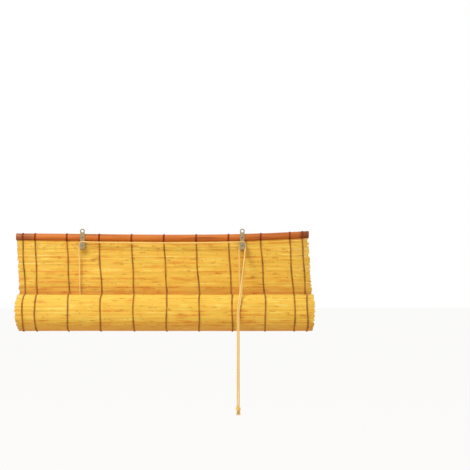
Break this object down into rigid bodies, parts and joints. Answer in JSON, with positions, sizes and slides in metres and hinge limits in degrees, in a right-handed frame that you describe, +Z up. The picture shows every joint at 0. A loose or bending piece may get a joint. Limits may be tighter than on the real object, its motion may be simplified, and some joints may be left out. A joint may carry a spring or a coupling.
{
  "type": "bamboo roll up blind",
  "caption": "Bamboo roll up blind: a reed mat lashed to a half-round head rail, partly rolled up, hung by eyed pulley brackets, with cotton lift and pull cords.",
  "frame": {"origin": "midway between the two hanging eyes, on the back face of their straps", "axes": "+X along the blind to the right as seen from the room, +Y towards the wall, +Z up"},
  "size_m": [0.9162, 0.1271, 0.5666],
  "materials": {
    "reed": "natural golden split reed",
    "rail": "reddish brown stain",
    "warp": "dark brown twisted thread",
    "zinc": "dull galvanised",
    "steel": "plain",
    "cord": "cream laid cotton"
  },
  "bodies": {
    "head": {"head_rail": "rail", "mat_panel": "reed", "warp_1": "warp", "warp_2": "warp", "warp_3": "warp", "warp_4": "warp", "warp_5": "warp", "warp_6": "warp", "warp_7": "warp", "warp_8": "warp", "warp_9": "warp", "warp_10": "warp", "warp_11": "warp", "left_bracket": "zinc", "right_bracket": "zinc", "left_axle": "steel", "right_axle": "steel", "left_screw": "steel", "right_screw": "steel", "left_lift_cord": "cord", "right_lift_cord": "cord", "cross_cord": "cord", "pull_cord": "cord"},
    "lift": {"cross_cord_tail": "cord", "pull_cord_tail": "cord", "cord_knot": "cord"},
    "roll": {"mat_roll": "reed", "bottom_rail": "rail", "roll_warp_1": "warp", "roll_warp_2": "warp", "roll_warp_3": "warp", "roll_warp_4": "warp", "roll_warp_5": "warp", "roll_warp_6": "warp", "roll_warp_7": "warp", "roll_warp_8": "warp", "roll_warp_9": "warp", "roll_warp_10": "warp", "roll_warp_11": "warp"},
    "left_sheave": {"left_sheave": "zinc"},
    "right_rear_sheave": {"right_rear_sheave": "zinc"},
    "right_front_sheave": {"right_front_sheave": "zinc"}
  },
  "joints": [
    {"name": "roll_lift", "type": "slide", "parent": "head", "child": "lift", "axis": [0, 0, 1], "range_m": [0, 0.12], "deforming": ["mat_panel", "warp_1", "warp_2", "warp_3", "warp_4", "warp_5", "warp_6", "warp_7", "warp_8", "warp_9", "warp_10", "warp_11", "left_lift_cord", "right_lift_cord", "cross_cord", "pull_cord"]},
    {"name": "roll_turn", "type": "hinge", "parent": "lift", "child": "roll", "pos_m": [0.012, -0.0463, -0.2475], "axis": [1, 0, 0], "range_deg": [-125, 0]},
    {"name": "left_sheave_spin", "type": "hinge", "parent": "head", "child": "left_sheave", "pos_m": [-0.247, -0.00515, -0.043], "axis": [0, 1, 0], "continuous": true},
    {"name": "right_rear_sheave_spin", "type": "hinge", "parent": "head", "child": "right_rear_sheave", "pos_m": [0.247, -0.00515, -0.043], "axis": [0, 1, 0], "continuous": true},
    {"name": "right_front_sheave_spin", "type": "hinge", "parent": "head", "child": "right_front_sheave", "pos_m": [0.247, -0.01195, -0.043], "axis": [0, 1, 0], "continuous": true}
  ],
  "couplings": [
    {"joint": "roll_turn", "follows": "roll_lift", "rad_per_m": -18.05}
  ]
}
